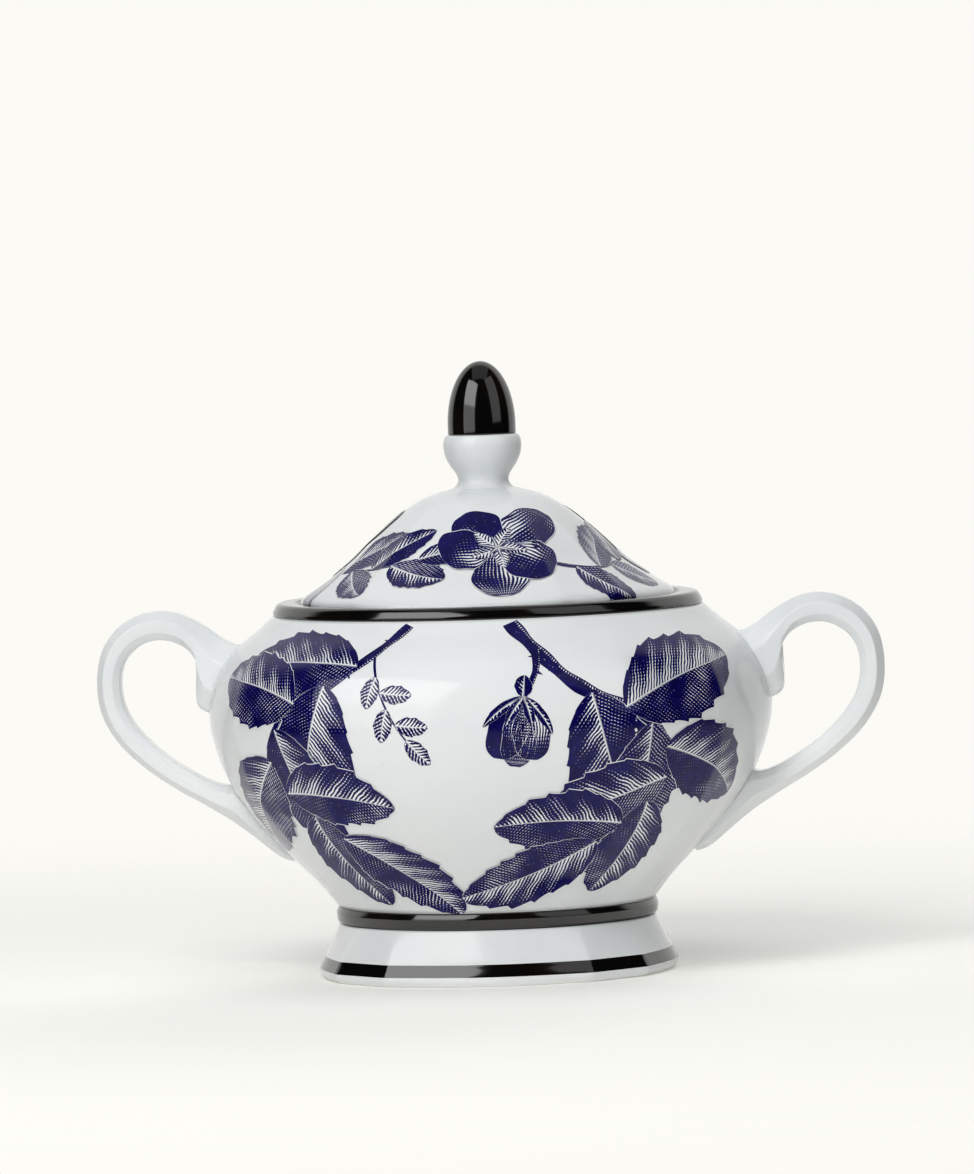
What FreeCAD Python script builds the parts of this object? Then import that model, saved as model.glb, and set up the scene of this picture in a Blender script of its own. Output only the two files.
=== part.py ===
"""Covered sugar bowl: a ridged round bowl on a flared foot, two ear handles and a loose domed lid.

Millimetres, +Z up, +X along the handles, -Y the front. The origin is on the table under the middle of the foot.
"""

import FreeCAD, Part
import Sketcher

import math
import os

RIDGE_ANGLES = [quarter + corner for quarter in (0, 90, 180, 270) for corner in (33.75, 56.25)]
NARROW_SHARE = 0.25  # how much of a wide panel's flatness a narrow panel has

# Driving dimensions. A ring is one level of a turned surface: its height, the radius at the middle of a wide
# panel, and how far the eight ridges stand out there, from 0 for a plain circle to 1.
BOWL_RINGS = {
    "seat": (14.9, 33.4, 0.0),
    "ankle": (19.5, 37.0, 0.7),
    "lower": (26.0, 43.3, 1.0),
    "rising": (33.0, 49.6, 1.0),
    "belly": (41.0, 55.0, 1.0),
    "fuller": (48.5, 58.0, 1.0),
    "widest": (55.5, 59.2, 1.0),
    "upper": (62.0, 58.1, 1.0),
    "shoulder": (67.0, 55.4, 0.9),
    "throat": (70.5, 52.0, 0.6),
    "flare": (73.5, 48.2, 0.3),
    "lip": (76.3, 45.1, 0.0),
}
FOOT_RINGS = {
    "standing": (0.0, 36.9, 0.8),
    "bulge": (1.5, 37.8, 1.0),
    "band": (3.9, 36.8, 1.0),
    "instep": (6.3, 35.5, 1.0),
    "slope": (8.8, 34.3, 0.8),
    "top": (11.3, 33.3, 0.3),
}
LID_RINGS = {
    "base": (76.4, 39.3, 0.0),
    "edge": (78.2, 39.4, 0.0),
    "brim": (79.8, 38.6, 0.3),
    "flare": (82.5, 34.4, 0.8),
    "skirt": (86.7, 28.8, 1.0),
    "middle": (90.9, 24.3, 1.0),
    "dome": (95.1, 19.7, 0.7),
    "round": (98.3, 15.5, 0.3),
    "crown": (100.4, 11.4, 0.0),
    "top": (101.8, 6.5, 0.0),
}
# A hollow has only a height and a radius at each ring.
CAVITY_RINGS = {
    "floor": (18.4, 27.0),
    "corner": (21.4, 34.4),
    "lower": (28.2, 41.2),
    "rising": (35.0, 47.2),
    "belly": (42.4, 52.1),
    "widest": (55.5, 56.0),
    "shoulder": (64.6, 53.0),
    "throat": (69.0, 48.4),
    "roof": (71.8, 43.0),
    "neck": (73.6, 35.6),
}
ARCH_RINGS = {
    "mouth": (0.0, 34.6),
    "lower": (3.5, 34.0),
    "middle": (7.5, 31.4),
    "upper": (11.3, 29.2),
    "roof": (14.9, 28.2),
}
DOME_RINGS = {
    "mouth": (76.4, 32.4),
    "lower": (80.6, 31.2),
    "skirt": (85.2, 26.6),
    "middle": (89.9, 21.6),
    "upper": (94.2, 16.2),
    "crown": (97.2, 9.8),
    "top": (98.4, 3.0),
}
CUP_RINGS = {
    "base": (101.8, 6.4),
    "neck": (103.3, 5.3),
    "swell": (104.9, 5.8),
    "lower": (106.5, 6.9),
    "upper": (108.3, 7.8),
    "widest": (110.1, 8.2),
    "shoulder": (111.8, 8.05),
    "top": (113.0, 7.3),
}
SIZES = {
    "bowl_ridge_rise": 0.024,
    "foot_ridge_rise": 0.04,
    "lid_ridge_rise": 0.04,
    "lid_turn": -6,
    "lid_seat_radius": 39.8,
    "lid_neck_radius": 35.6,
    "rim_height": 2.6,
    "rim_bevel": 1.9,
    "rim_easing": 0.4,
    "bead_inner_radius": 31.2,
    "bead_outer_radius": 33.9,
    "bead_round": 1.2,
    "flange_inner_radius": 32.4,
    "flange_outer_radius": 34.9,
    "flange_depth": 5.5,
    "flange_round": 0.8,
    "handle_width": 8.2,
    "handle_chamfer": 1.7,
    "acorn_radius": 7.15,
    "acorn_collar": 2,
    "acorn_height": 13.3,
}

# Side outline of a handle in its own plane, as distance from the axis and height.
HANDLE_OUTER = [
    (49.0, 66.0), (53.6, 69.6), (57.6, 72.7), (62.4, 75.8), (69.2, 77.8), (76.2, 75.7), (80.9, 71.8),
    (83.1, 62.5), (81.7, 54.8), (76.3, 47.2), (66.2, 39.7), (57.2, 34.3), (48.6, 27.7), (44.6, 24.4), (39.0, 23.6),
]
HANDLE_INNER = [
    (45.0, 33.5), (54.6, 38.8), (61.4, 42.2), (69.1, 47.2), (74.2, 52.3), (77.2, 57.6), (77.9, 63.0),
    (76.0, 68.2), (69.3, 71.6), (63.3, 69.4), (61.2, 65.2), (62.1, 59.9), (61.6, 57.2), (56.0, 54.6), (48.0, 55.0),
]

doc = FreeCAD.newDocument("sugar_bowl")
sheet = doc.addObject("Spreadsheet::Sheet", "sizes")


def fill_sheet():
    """Writes every driving dimension as a plain number with an alias."""
    values = dict(SIZES)
    for part, rings in (("bowl", BOWL_RINGS), ("foot", FOOT_RINGS), ("lid", LID_RINGS)):
        for ring, (height, radius, share) in rings.items():
            values[f"{part}_{ring}_height"] = height
            values[f"{part}_{ring}_radius"] = radius
            values[f"{part}_{ring}_ridge"] = share
    for part, rings in (("cavity", CAVITY_RINGS), ("arch", ARCH_RINGS), ("dome", DOME_RINGS), ("cup", CUP_RINGS)):
        for ring, (height, radius) in rings.items():
            values[f"{part}_{ring}_height"] = height
            values[f"{part}_{ring}_radius"] = radius
    for row, (alias, value) in enumerate(values.items(), start=1):
        sheet.set(f"A{row}", alias.replace("_", " "))
        sheet.set(f"B{row}", str(value))
        sheet.setAlias(f"B{row}", alias)
    doc.recompute()


def bind(thing, **expressions):
    """Binds properties to expressions; a double underscore in a name stands for a dot."""
    for name, expression in expressions.items():
        thing.setExpression(name.replace("__", "."), expression)


def ridged_section(level, turn=None):
    """An outline of eight arcs that meet at the ridges, drawn at the ring's height."""
    sketch = doc.addObject("Sketcher::SketchObject", level + "_section")
    panel = sheet.get(level + "_radius")
    rise = level.split("_")[0] + "_ridge_rise"
    corner = panel * (1 + SIZES[rise] * sheet.get(level + "_ridge"))
    corner_text = f"sizes.{level}_radius * (1 + sizes.{rise} * sizes.{level}_ridge)"

    def at(radius, degrees):
        angle = math.radians(degrees)
        return FreeCAD.Vector(radius * math.cos(angle), radius * math.sin(angle), 0)

    for index, start in enumerate(RIDGE_ANGLES):
        end = RIDGE_ANGLES[index + 1] if index < 7 else RIDGE_ANGLES[0] + 360
        half = (end - start) / 2
        flatness = 1 if half > 30 else NARROW_SHARE
        middle = corner - (corner - panel) * flatness
        arc = Part.Arc(at(corner, start), at(middle, start + half), at(corner, end))
        sketch.addGeometry(arc)
    for index in range(8):
        sketch.addConstraint(Sketcher.Constraint("Coincident", index, 2, (index + 1) % 8, 1))
    for index, start in enumerate(RIDGE_ANGLES):
        point = at(corner, start)
        for kind, value, turning in (("DistanceX", point.x, "cos"), ("DistanceY", point.y, "sin")):
            number = sketch.addConstraint(Sketcher.Constraint(kind, index, 1, value))
            sketch.setExpression(f"Constraints[{number}]", f"{corner_text} * {turning}({start} deg)")
    for index in range(8):
        half = 33.75 if index % 2 else 11.25
        flatness = 1 if index % 2 else NARROW_SHARE
        reach = f"{corner_text} * sin({half} deg)"
        middle = f"({corner_text}) - ({corner_text} - sizes.{level}_radius) * {flatness}"
        camber = f"({middle} - {corner_text} * cos({half} deg))"
        number = sketch.addConstraint(Sketcher.Constraint("Radius", index, sketch.Geometry[index].Radius))
        sketch.setExpression(f"Constraints[{number}]", f"(({reach}) ^ 2 + {camber} ^ 2) / (2 * {camber})")
    bind(sketch, Placement__Base__z=f"sizes.{level}_height")
    if turn:
        sketch.Placement.Rotation = FreeCAD.Rotation(FreeCAD.Vector(0, 0, 1), 1)
        bind(sketch, Placement__Rotation__Angle=turn)
    return sketch


def circle_section(level):
    """A circle at the ring's height."""
    circle = doc.addObject("Part::Circle", level + "_circle")
    bind(circle, Radius=f"sizes.{level}_radius", Placement__Base__z=f"sizes.{level}_height")
    return circle


def loft(name, sections):
    solid = doc.addObject("Part::Loft", name)
    solid.Sections = sections
    solid.Solid = True
    solid.Ruled = False
    return solid


def ridged_loft(part, rings, turn=None):
    return loft(part + "_outline", [ridged_section(f"{part}_{ring}", turn) for ring in rings])


def turned_loft(part, rings, name=None):
    return loft(name or part + "_hollow", [circle_section(f"{part}_{ring}") for ring in rings])


def cylinder(name, radius, low, high):
    solid = doc.addObject("Part::Cylinder", name)
    bind(solid, Radius=radius, Height=f"{high} - {low}", Placement__Base__z=low)
    return solid


def combined(kind, name, base, tool):
    solid = doc.addObject(kind, name)
    solid.Base = base
    solid.Tool = tool
    return solid


def origin_plane(body, role):
    return [feature for feature in body.Origin.OriginFeatures if feature.Role == role][0]


def turned_ring(label, inner, outer, low, high):
    """A ring of rectangular section, turned about Z. Returns its body and its revolution."""
    body = doc.addObject("PartDesign::Body", label)
    sketch = body.newObject("Sketcher::SketchObject", label + "_section")
    sketch.AttachmentSupport = [(origin_plane(body, "XZ_Plane"), "")]
    sketch.MapMode = "FlatFace"
    corners = [(30, 10), (40, 10), (40, 20), (30, 20)]
    for (x, y), (x_next, y_next) in zip(corners, corners[1:] + corners[:1]):
        sketch.addGeometry(Part.LineSegment(FreeCAD.Vector(x, y, 0), FreeCAD.Vector(x_next, y_next, 0)))
    for side in range(4):
        sketch.addConstraint(Sketcher.Constraint("Coincident", side, 2, (side + 1) % 4, 1))
    for side, kind in ((0, "Horizontal"), (1, "Vertical"), (2, "Horizontal"), (3, "Vertical")):
        sketch.addConstraint(Sketcher.Constraint(kind, side))
    for kind, corner, value, text in (
        ("DistanceX", 0, 30, inner),
        ("DistanceX", 2, 40, outer),
        ("DistanceY", 0, 10, low),
        ("DistanceY", 2, 20, high),
    ):
        number = sketch.addConstraint(Sketcher.Constraint(kind, corner, 1, value))
        sketch.setExpression(f"Constraints[{number}]", text)
    ring = body.newObject("PartDesign::Revolution", label + "_turning")
    ring.Profile = sketch
    ring.ReferenceAxis = (sketch, ["V_Axis"])
    ring.Angle = 360
    body.Tip = ring
    doc.recompute()
    return body, ring


def round_circles(body, base, name, radius, wanted):
    """Rounds the circular edges of base whose (radius, height) passes the test."""
    names = []
    for index, edge in enumerate(base.Shape.Edges, start=1):
        if isinstance(edge.Curve, Part.Circle) and wanted(edge.Curve.Radius, edge.Curve.Center.z):
            names.append(f"Edge{index}")
    fillet = body.newObject("PartDesign::Fillet", name)
    fillet.Base = (base, names)
    bind(fillet, Radius=radius)
    body.Tip = fillet
    doc.recompute()
    return fillet


def make_bowl_body(outline):
    """The ridged belly, hollow, with a flat lip that carries the lid."""
    hollow = turned_loft("cavity", CAVITY_RINGS)
    neck = cylinder("neck_opening", "sizes.lid_neck_radius", "sizes.cavity_neck_height", "sizes.bowl_lip_height + 1")
    cutter = combined("Part::Fuse", "cavity", hollow, neck)
    return combined("Part::Cut", "bowl_body", outline, cutter)


def make_rim_band():
    """The black moulding round the mouth, bevelled outside; the lid drops inside it."""
    high = "sizes.bowl_lip_height + sizes.rim_height"
    body, ring = turned_ring(
        "rim_band", "sizes.lid_seat_radius", "sizes.bowl_lip_radius", "sizes.bowl_lip_height", high
    )
    middle = SIZES["lid_seat_radius"] + 2
    bottom = BOWL_RINGS["lip"][0] + 1
    bevel = round_circles(body, ring, "rim_outer_bevel", "sizes.rim_bevel", lambda r, z: r > middle and z > bottom)
    round_circles(body, bevel, "rim_inner_easing", "sizes.rim_easing", lambda r, z: r < middle and z > bottom)
    return body


def make_waist_bead():
    """The half-round moulding where the bowl meets its foot."""
    body, ring = turned_ring(
        "waist_bead",
        "sizes.bead_inner_radius",
        "sizes.bead_outer_radius",
        "sizes.foot_top_height",
        "sizes.bowl_seat_height",
    )
    middle = SIZES["bead_inner_radius"] + 1
    round_circles(body, ring, "bead_rounding", "sizes.bead_round", lambda r, z: r > middle)
    return body


def make_foot():
    """The flared foot: ridged outside, open underneath, with a spigot inside the bead."""
    outline = ridged_loft("foot", FOOT_RINGS)
    spigot = cylinder("foot_spigot", "sizes.bead_inner_radius", "sizes.foot_slope_height", "sizes.bowl_seat_height")
    blank = combined("Part::Fuse", "foot_blank", outline, spigot)
    return combined("Part::Cut", "foot", blank, turned_loft("arch", ARCH_RINGS))


def make_handle_blank():
    """An ear handle as a strap cut from its side outline, with every long edge bevelled to a facet."""
    body = doc.addObject("PartDesign::Body", "handle_blank")
    sketch = body.newObject("Sketcher::SketchObject", "handle_side")
    sketch.AttachmentSupport = [(origin_plane(body, "XZ_Plane"), "")]
    sketch.MapMode = "FlatFace"
    outer = [FreeCAD.Vector(x, z, 0) for x, z in HANDLE_OUTER]
    inner = [FreeCAD.Vector(x, z, 0) for x, z in HANDLE_INNER]
    for points in (outer, inner):
        curve = Part.BSplineCurve()
        curve.interpolate(points)
        sketch.addGeometry(curve)
    sketch.addGeometry(Part.LineSegment(outer[-1], inner[0]))
    sketch.addGeometry(Part.LineSegment(inner[-1], outer[0]))
    for first, second in ((0, 2), (2, 1), (1, 3), (3, 0)):
        sketch.addConstraint(Sketcher.Constraint("Coincident", first, 2, second, 1))
    strap = body.newObject("PartDesign::Pad", "handle_strap")
    strap.Profile = sketch
    strap.Midplane = True
    bind(strap, Length="sizes.handle_width")
    body.Tip = strap
    doc.recompute()
    names = []
    for index, edge in enumerate(strap.Shape.Edges, start=1):
        if isinstance(edge.Curve, Part.BSplineCurve):
            names.append(f"Edge{index}")
    facets = body.newObject("PartDesign::Chamfer", "handle_facets")
    facets.Base = (strap, names)
    bind(facets, Size="sizes.handle_chamfer")
    body.Tip = facets
    return body


def make_handles(outline):
    """Two alike handles, each trimmed to the ridged wall that it is stuck to."""
    right_blank = make_handle_blank()
    left_blank = doc.addObject("Part::Mirroring", "handle_blank_mirrored")
    left_blank.Source = right_blank
    left_blank.Normal = (1, 0, 0)
    blanks = {"handle_right": right_blank, "handle_left": left_blank}
    return [combined("Part::Cut", name, blank, outline) for name, blank in blanks.items()]


def make_lid_shell():
    """The domed lid, ridged outside and turned a little from the bowl, smooth underneath."""
    outline = ridged_loft("lid", LID_RINGS, turn="sizes.lid_turn")
    return combined("Part::Cut", "lid_shell", outline, turned_loft("dome", DOME_RINGS))


def make_lid_flange():
    """The ring under the lid that keeps it central in the neck."""
    low = "sizes.lid_base_height - sizes.flange_depth"
    body, ring = turned_ring(
        "lid_flange", "sizes.flange_inner_radius", "sizes.flange_outer_radius", low, "sizes.lid_base_height"
    )
    top = LID_RINGS["base"][0] - 1
    round_circles(body, ring, "flange_rounding", "sizes.flange_round", lambda r, z: z < top)
    return body


def make_finial_acorn():
    """The black tip: half an ellipsoid on a short collar."""
    collar = cylinder(
        "acorn_collar",
        "sizes.acorn_radius",
        "sizes.cup_top_height",
        "sizes.cup_top_height + sizes.acorn_collar",
    )
    dome = doc.addObject("Part::Ellipsoid", "acorn_dome")
    dome.Angle1 = 0
    bind(
        dome,
        Radius1="sizes.acorn_height",
        Radius2="sizes.acorn_radius",
        Radius3="sizes.acorn_radius",
        Placement__Base__z="sizes.cup_top_height + sizes.acorn_collar",
    )
    return combined("Part::Fuse", "finial_acorn", collar, dome)


def check_document():
    """Stops if any object failed or holds a bad shape."""
    doc.recompute()
    for thing in doc.Objects:
        if "Invalid" in thing.State or "Error" in thing.State:
            raise RuntimeError(f"{thing.Label} failed: {thing.State}")
    for thing in doc.Objects:
        if thing.isDerivedFrom("Part::Feature") and thing.Shape.Solids and not thing.Shape.isValid():
            raise RuntimeError(f"{thing.Label} has a bad shape")


def write_parts(parts):
    os.makedirs("parts", exist_ok=True)
    for part in parts:
        shape = part.Shape
        if shape.isNull() or not shape.isValid() or len(shape.Solids) != 1:
            raise RuntimeError(f"{part.Label} isn't one valid solid")
        shape.exportStep(f"parts/{part.Label}.step")
        box = shape.BoundBox
        print(
            part.Label, "volume", round(shape.Volume, 1),
            "x", round(box.XMin, 2), round(box.XMax, 2),
            "y", round(box.YMin, 2), round(box.YMax, 2),
            "z", round(box.ZMin, 2), round(box.ZMax, 2),
        )


fill_sheet()
bowl_outline = ridged_loft("bowl", BOWL_RINGS)
doc.recompute()
pieces = [make_bowl_body(bowl_outline), make_rim_band(), make_waist_bead(), make_foot()]
pieces += make_handles(bowl_outline)
pieces += [make_lid_shell(), make_lid_flange()]
pieces += [turned_loft("cup", CUP_RINGS, name="finial_cup"), make_finial_acorn()]
check_document()
write_parts(pieces)
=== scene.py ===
"""Looks of the covered sugar bowl: glazed porcelain with engraved blue twigs and black enamel mouldings.

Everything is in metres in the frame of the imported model. Profiles are written in millimetres, as radius and
height, and turned into metres when the mesh is made. The front is towards -Y. A place on a print is an angle
in degrees, from the front towards +X, and a height in millimetres.
"""

import math

import bpy
import numpy as np
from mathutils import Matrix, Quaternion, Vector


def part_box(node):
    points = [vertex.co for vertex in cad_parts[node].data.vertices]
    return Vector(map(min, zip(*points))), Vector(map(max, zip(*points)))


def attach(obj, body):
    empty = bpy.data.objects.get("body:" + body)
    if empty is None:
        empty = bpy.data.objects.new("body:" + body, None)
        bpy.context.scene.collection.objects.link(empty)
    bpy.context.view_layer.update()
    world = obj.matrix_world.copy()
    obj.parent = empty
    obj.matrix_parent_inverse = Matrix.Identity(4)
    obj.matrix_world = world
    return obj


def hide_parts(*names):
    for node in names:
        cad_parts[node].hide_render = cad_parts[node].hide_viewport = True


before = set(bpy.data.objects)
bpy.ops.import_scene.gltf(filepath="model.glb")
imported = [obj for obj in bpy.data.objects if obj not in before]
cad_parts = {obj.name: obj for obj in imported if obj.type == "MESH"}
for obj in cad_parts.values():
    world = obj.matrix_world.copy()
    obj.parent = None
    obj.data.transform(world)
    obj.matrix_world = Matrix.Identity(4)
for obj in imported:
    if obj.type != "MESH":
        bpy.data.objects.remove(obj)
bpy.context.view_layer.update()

MM = 0.001


def top_of(node):
    """Height of a CAD node's top, in millimetres."""
    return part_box(node)[1][2] / MM


def bottom_of(node):
    """Height of a CAD node's underside, in millimetres."""
    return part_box(node)[0][2] / MM


SEAT = bottom_of("bowl_body")
LIP = top_of("bowl_body")
RIM_TOP = top_of("rim_band")
BEAD_LOW = bottom_of("waist_bead")
LID_BASE = bottom_of("lid_shell")
LID_TOP = top_of("lid_shell")
CUP_BASE = LID_TOP - 0.15  # the knob's cup starts just inside the lid
CUP_TOP = top_of("finial_cup")
TIP_TOP = top_of("finial_acorn")
LID_TURN = math.radians(-6)  # how the loose lid happens to lie

# ---------------------------------------------------------------- curves and turned surfaces

# Eight ridges in four pairs. A narrow panel lies between the two of a pair, and a wide one between pairs.
NARROW_HALF = 11.25  # degrees from the middle of a narrow panel to its ridges
WIDE_HALF = 45 - NARROW_HALF
RIDGE_ANGLES = np.array([pair + side * NARROW_HALF for pair in (45, 135, 225, 315) for side in (-1, 1)])
RIDGE_SOFTNESS = 0.4  # degrees over which a ridge is rounded
NARROW_DEPTH = 0.4  # how far a narrow panel falls back between its ridges, as a share of their rise
PLAIN_COLUMNS = 192  # points round a piece that has no ridges
PRINT_GRAIN = 0.25  # millimetres between the points of a profile that prints lie on


def through(points, steps):
    """A smooth curve through the points, with so many steps between each two (Catmull-Rom)."""
    points = np.array(points, float)
    padded = np.vstack([2 * points[0] - points[1], points, 2 * points[-1] - points[-2]])
    t = np.linspace(0, 1, steps, endpoint=False)[:, None]
    rows = []
    for a, b, c, d in zip(padded, padded[1:], padded[2:], padded[3:]):
        square, cube = 2 * a - 5 * b + 4 * c - d, 3 * b - a - 3 * c + d
        rows.append(0.5 * (2 * b + (c - a) * t + square * t**2 + cube * t**3))
    rows.append(points[-1:])
    return np.vstack(rows)


def evenly(curve, spacing):
    """The same curve with its points about so far apart."""
    steps = np.linalg.norm(np.diff(curve[:, :2], axis=0), axis=1)
    along = np.concatenate([[0], np.cumsum(steps)])
    wanted = np.linspace(0, along[-1], max(2, round(along[-1] / spacing) + 1))
    return np.column_stack([np.interp(wanted, along, curve[:, i]) for i in range(curve.shape[1])])


def rounded(corners, steps=4):
    """A polyline of (radius, height, rounding), with a bend of about that radius at each such corner."""
    points = []
    for i, (x, y, rounding) in enumerate(corners):
        here = np.array([x, y], float)
        if rounding == 0 or i in (0, len(corners) - 1):
            points.append(here)
            continue
        before = np.array(corners[i - 1][:2], float) - here
        after = np.array(corners[i + 1][:2], float) - here
        before /= np.linalg.norm(before)
        after /= np.linalg.norm(after)
        half = math.acos(np.clip(before @ after, -1, 1)) / 2
        start, end = here + before * rounding / math.tan(half), here + after * rounding / math.tan(half)
        for t in np.linspace(0, 1, steps + 1):
            points.append((1 - t) ** 2 * start + 2 * t * (1 - t) * here + t**2 * end)
    return np.array(points)


def ridge_height(angle):
    """Rise of the surface at angles in degrees from +X: 0 in the middle of a wide panel, 1 on a ridge."""
    angle = np.asarray(angle, float) % 360
    gap = np.abs((angle[..., None] - RIDGE_ANGLES + 180) % 360 - 180).min(axis=-1)
    gap = np.sqrt(gap**2 + RIDGE_SOFTNESS**2) - RIDGE_SOFTNESS
    in_narrow = np.abs((angle % 90) - 45) < NARROW_HALF
    wide = (1 - gap / WIDE_HALF) ** 4
    narrow = 1 - NARROW_DEPTH * (1 - (1 - gap / NARROW_HALF) ** 2)
    return np.where(in_narrow, narrow, wide)


def ridged_columns():
    """Angles round the vessel in degrees from +X, closer together beside the ridges."""
    angles = []
    for i, start in enumerate(RIDGE_ANGLES):
        width, count = (2 * NARROW_HALF, 14) if i % 2 == 0 else (2 * WIDE_HALF, 40)
        x = np.arange(count) / count
        angles.append(start + width * (0.55 * x + 0.45 * (0.5 - 0.5 * np.cos(math.pi * x))))
    return np.concatenate(angles)


def turned_mesh(name, profile, columns=None, rise=0.0, turn=0.0, shares=None, closed=False, bands=None):
    """A mesh turned about Z from (radius, height) rows, with ridges where shares says so.

    rise is the height of a full ridge as a share of the radius, and turn is in radians. bands gives the
    material slot of the faces between each two rows. A radius of 0 makes a single point.
    """
    columns = np.linspace(0, 360, PLAIN_COLUMNS, endpoint=False) if columns is None else columns
    shares = np.zeros(len(profile)) if shares is None else shares
    height_of_ridge = ridge_height(columns)
    around = np.radians(columns) + turn
    vertices, rows = [], []
    for (radius, height), share in zip(profile, shares):
        if radius < 1e-6:
            rows.append([len(vertices)])
            vertices.append((0, 0, height * MM))
            continue
        rows.append(list(range(len(vertices), len(vertices) + len(columns))))
        reach = radius * (1 + rise * share * height_of_ridge) * MM
        vertices += list(zip(reach * np.cos(around), reach * np.sin(around), [height * MM] * len(columns)))
    faces, slots = [], []
    pairs = list(zip(rows, rows[1:])) + ([(rows[-1], rows[0])] if closed else [])
    for level, (low, high) in enumerate(pairs):
        for i in range(len(columns)):
            j = (i + 1) % len(columns)
            if len(low) == 1:
                faces.append((low[0], high[j], high[i]))
            elif len(high) == 1:
                faces.append((low[i], low[j], high[0]))
            else:
                faces.append((low[i], low[j], high[j], high[i]))
            slots.append(bands[level] if bands is not None else 0)
    return new_piece(name, vertices, faces, slots)


def new_piece(name, vertices, faces, slots=None):
    """A smooth-shaded mesh object, with a material slot for each face if slots is given."""
    mesh = bpy.data.meshes.new(name)
    mesh.from_pydata([tuple(map(float, v)) for v in vertices], [], faces)
    if slots is not None:
        mesh.polygons.foreach_set("material_index", np.array(slots, np.int32))
    mesh.polygons.foreach_set("use_smooth", np.ones(len(faces), bool))
    mesh.validate()
    mesh.update()
    piece = bpy.data.objects.new(name, mesh)
    bpy.context.scene.collection.objects.link(piece)
    return piece


class Surface:
    """A ridged turned surface that prints are laid on: places are an angle from the front and a height."""

    def __init__(self, rings, rise, turn=0.0):
        curve = evenly(through(rings, 24), PRINT_GRAIN)
        self.radius, self.height, self.share = curve[:, 0], curve[:, 1], curve[:, 2].clip(0, 1)
        steps = np.hypot(np.diff(self.radius), np.diff(self.height))
        self.along = np.concatenate([[0], np.cumsum(steps)])
        self.rise, self.turn = rise, turn

    def reach(self, height):
        """How far along the profile a height is."""
        return np.interp(height, self.height, self.along)

    def radius_at(self, along):
        """The radius so far along the profile, in the middle of a wide panel."""
        return np.interp(along, self.along, self.radius)

    def point(self, angle, along):
        """Points at angles in radians from the front towards +X, and distances along the profile."""
        radius = self.radius_at(along)
        height = np.interp(along, self.along, self.height)
        share = np.interp(along, self.along, self.share)
        around = angle - math.pi / 2
        radius = radius * (1 + self.rise * share * ridge_height(np.degrees(around - self.turn)))
        return np.stack([radius * np.cos(around), radius * np.sin(around), height], axis=-1)

    def normal(self, angle, along):
        """Outward directions at the same places, from points a small step to each side."""
        step = 0.3
        turn = step / self.radius_at(along)
        across = self.point(angle + turn, along) - self.point(angle - turn, along)
        low, high = along - step, along + step
        up = self.point(angle, high.clip(0, self.along[-1])) - self.point(angle, low.clip(0, self.along[-1]))
        normal = np.cross(across, up)
        return normal / np.linalg.norm(normal, axis=-1, keepdims=True)


# Rings are the radius in the middle of a wide panel, the height, and the share of a full ridge there.
BOWL_RINGS = [
    (33.4, SEAT, 0.0), (37.0, 19.5, 0.7), (43.3, 26.0, 1.0), (49.6, 33.0, 1.0), (55.0, 41.0, 1.0),
    (58.0, 48.5, 1.0), (59.17, 55.5, 1.0), (58.1, 62.0, 1.0), (55.4, 67.0, 0.9), (52.0, 70.5, 0.6),
    (48.2, 73.5, 0.3), (45.1, LIP, 0.0),
]
LID_RINGS = [
    (39.3, LID_BASE, 0.0), (39.4, 78.2, 0.0), (38.6, 79.8, 0.4), (34.4, 82.5, 0.9), (28.8, 86.7, 1.0),
    (24.3, 90.9, 1.0), (19.7, 95.1, 0.7), (15.5, 98.3, 0.3), (11.4, 100.4, 0.0), (6.5, LID_TOP, 0.0),
]
FOOT_RINGS = [
    (36.9, 0.0, 0.8), (37.8, 1.5, 1.0), (36.8, 3.9, 1.0), (35.5, 6.3, 1.0), (34.3, 8.8, 0.8),
    (33.3, BEAD_LOW, 0.3),
]
# The inside of the bowl, the inside of the lid and the knob's cup: radius and height, without ridges.
CAVITY = [
    (43.0, 71.8), (48.4, 69.0), (53.0, 64.6), (56.0, 55.5), (52.1, 42.4), (47.2, 35.0), (41.2, 28.2),
    (34.4, 21.4), (27.0, 18.4),
]
DOME = [(32.4, LID_BASE), (31.2, 80.6), (26.6, 85.2), (21.6, 89.9), (16.2, 94.2), (9.8, 97.2), (3.0, 98.4)]
CUP = [
    (6.9, CUP_BASE), (6.0, 102.1), (5.4, 102.9), (5.3, 103.7), (5.8, 104.9), (6.9, 106.5), (7.8, 108.3),
    (8.2, 110.1), (8.15, 111.6), (7.7, 112.7), (7.1, CUP_TOP),
]
BOWL_RISE, LID_RISE, FOOT_RISE = 0.025, 0.06, 0.04  # heights of a full ridge, as shares of the radius


def without_ridges(rows):
    """Rows of (radius, height) with a ridge share of 0."""
    return np.column_stack([rows, np.zeros(len(rows))])


def make_bowl():
    """The belly: ridged outside, smooth inside, with a flat lip."""
    outer = evenly(through(BOWL_RINGS, 12), 1.1)
    lip = rounded([(45.1, LIP, 0), (35.6, LIP, 0.6), (35.6, 73.6, 0.9), (40.0, 72.7, 0)])
    inner = evenly(through(CAVITY, 10), 1.6)
    floor = [(18.0, 18.35), (9.0, 18.3), (0.0, 18.3)]
    under = without_ridges([(0.0, SEAT), (15.0, SEAT), (28.2, SEAT), (32.9, SEAT)])
    profile = np.vstack([under, outer, without_ridges(np.vstack([lip[1:], inner, floor]))])
    bowl = turned_mesh("bowl_porcelain", profile[:, :2], ridged_columns(), BOWL_RISE, 0, profile[:, 2])
    place(bowl, "bowl", "printed_porcelain", "bowl_body")


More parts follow.
